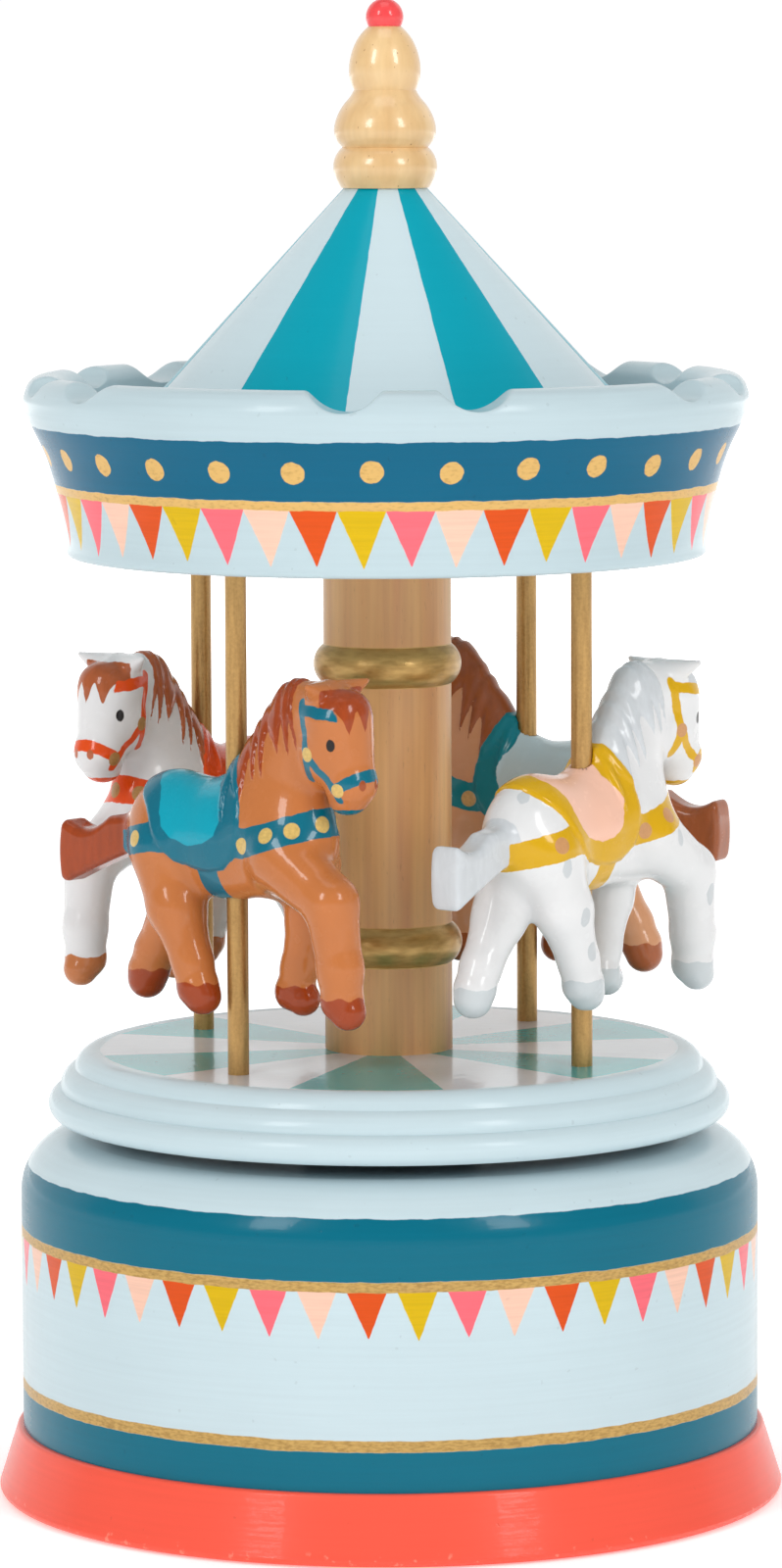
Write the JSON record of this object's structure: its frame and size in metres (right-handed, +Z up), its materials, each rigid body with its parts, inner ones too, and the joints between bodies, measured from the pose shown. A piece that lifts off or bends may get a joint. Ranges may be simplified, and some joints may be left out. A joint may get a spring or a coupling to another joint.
{
  "type": "carousel music box",
  "caption": "Turned wooden music box whose platform, painted horses and striped canopy revolve on a drum that hides a comb movement.",
  "frame": {"origin": "centre of the base's underside, on the axis that the carousel turns about", "axes": "+Z up along the axis of rotation; -Y is the front and +X is to the right seen from the front"},
  "size_m": [0.11, 0.11, 0.208],
  "materials": {
    "coral_paint": "gloss enamel on wood",
    "pale_blue_paint": "gloss enamel on wood",
    "teal_paint": "gloss enamel on wood",
    "column_wood": "satin varnish",
    "finial_wood": "gloss varnish",
    "red_paint": "gloss enamel on wood",
    "gold_paint": "satin metallic paint on a wooden dowel",
    "brown_horse": "gloss paint on cast resin",
    "white_horse": "gloss paint on cast resin",
    "grey_horse": "gloss paint on cast resin",
    "black_plastic": "satin",
    "zinc": "as cast",
    "steel": "plain",
    "spring_steel": "blued",
    "brass": "plain",
    "fan_plastic": "plain"
  },
  "bodies": {
    "base": {"base_plate": "coral_paint", "base_screws": "steel", "drum": "pale_blue_paint", "movement_bedplate": "zinc", "movement_screws": "steel", "spring_housing": "zinc", "mainspring": "spring_steel", "comb": "steel", "comb_screws": "steel", "inner_cylinder_bracket": "zinc", "outer_cylinder_bracket": "zinc", "governor_bracket": "zinc"},
    "rotor": {"winding_arbor": "steel", "drive_wheel": "brass", "rotor_hub": "black_plastic", "hub_screws": "steel", "platform": "pale_blue_paint", "column": "column_wood", "crown": "pale_blue_paint", "roof_cone": "teal_paint", "finial": "finial_wood", "finial_ball": "red_paint", "pole_front_left": "gold_paint", "pole_front_right": "gold_paint", "pole_rear_right": "gold_paint", "pole_rear_left": "gold_paint", "horse_front_left": "brown_horse", "horse_front_right": "grey_horse", "horse_rear_right": "brown_horse", "horse_rear_left": "white_horse"},
    "tune_cylinder": {"cylinder_shaft": "steel", "cylinder_pinion": "brass", "cylinder_gear": "brass", "tune_cylinder": "brass"},
    "governor": {"governor_arbor": "steel", "worm_wheel": "brass"},
    "fan": {"worm_shaft": "steel", "fan": "fan_plastic"}
  },
  "joints": [
    {"name": "rotor_spin", "type": "hinge", "parent": "base", "child": "rotor", "pos_m": [0, 0, 0.052], "axis": [0, 0, 1], "continuous": true},
    {"name": "cylinder_spin", "type": "hinge", "parent": "base", "child": "tune_cylinder", "pos_m": [0.0215, 0, 0.0259], "axis": [1, 0, 0], "continuous": true},
    {"name": "governor_spin", "type": "hinge", "parent": "base", "child": "governor", "pos_m": [0.0315, 0.00859, 0.03018], "axis": [1, 0, 0], "continuous": true},
    {"name": "fan_spin", "type": "hinge", "parent": "base", "child": "fan", "pos_m": [0.0336, 0.01384, 0.03], "axis": [0, 0, 1], "continuous": true}
  ],
  "couplings": [
    {"joint": "cylinder_spin", "follows": "rotor_spin", "ratio": -3.5},
    {"joint": "governor_spin", "follows": "rotor_spin", "ratio": 13.125},
    {"joint": "fan_spin", "follows": "rotor_spin", "ratio": -262.5}
  ]
}
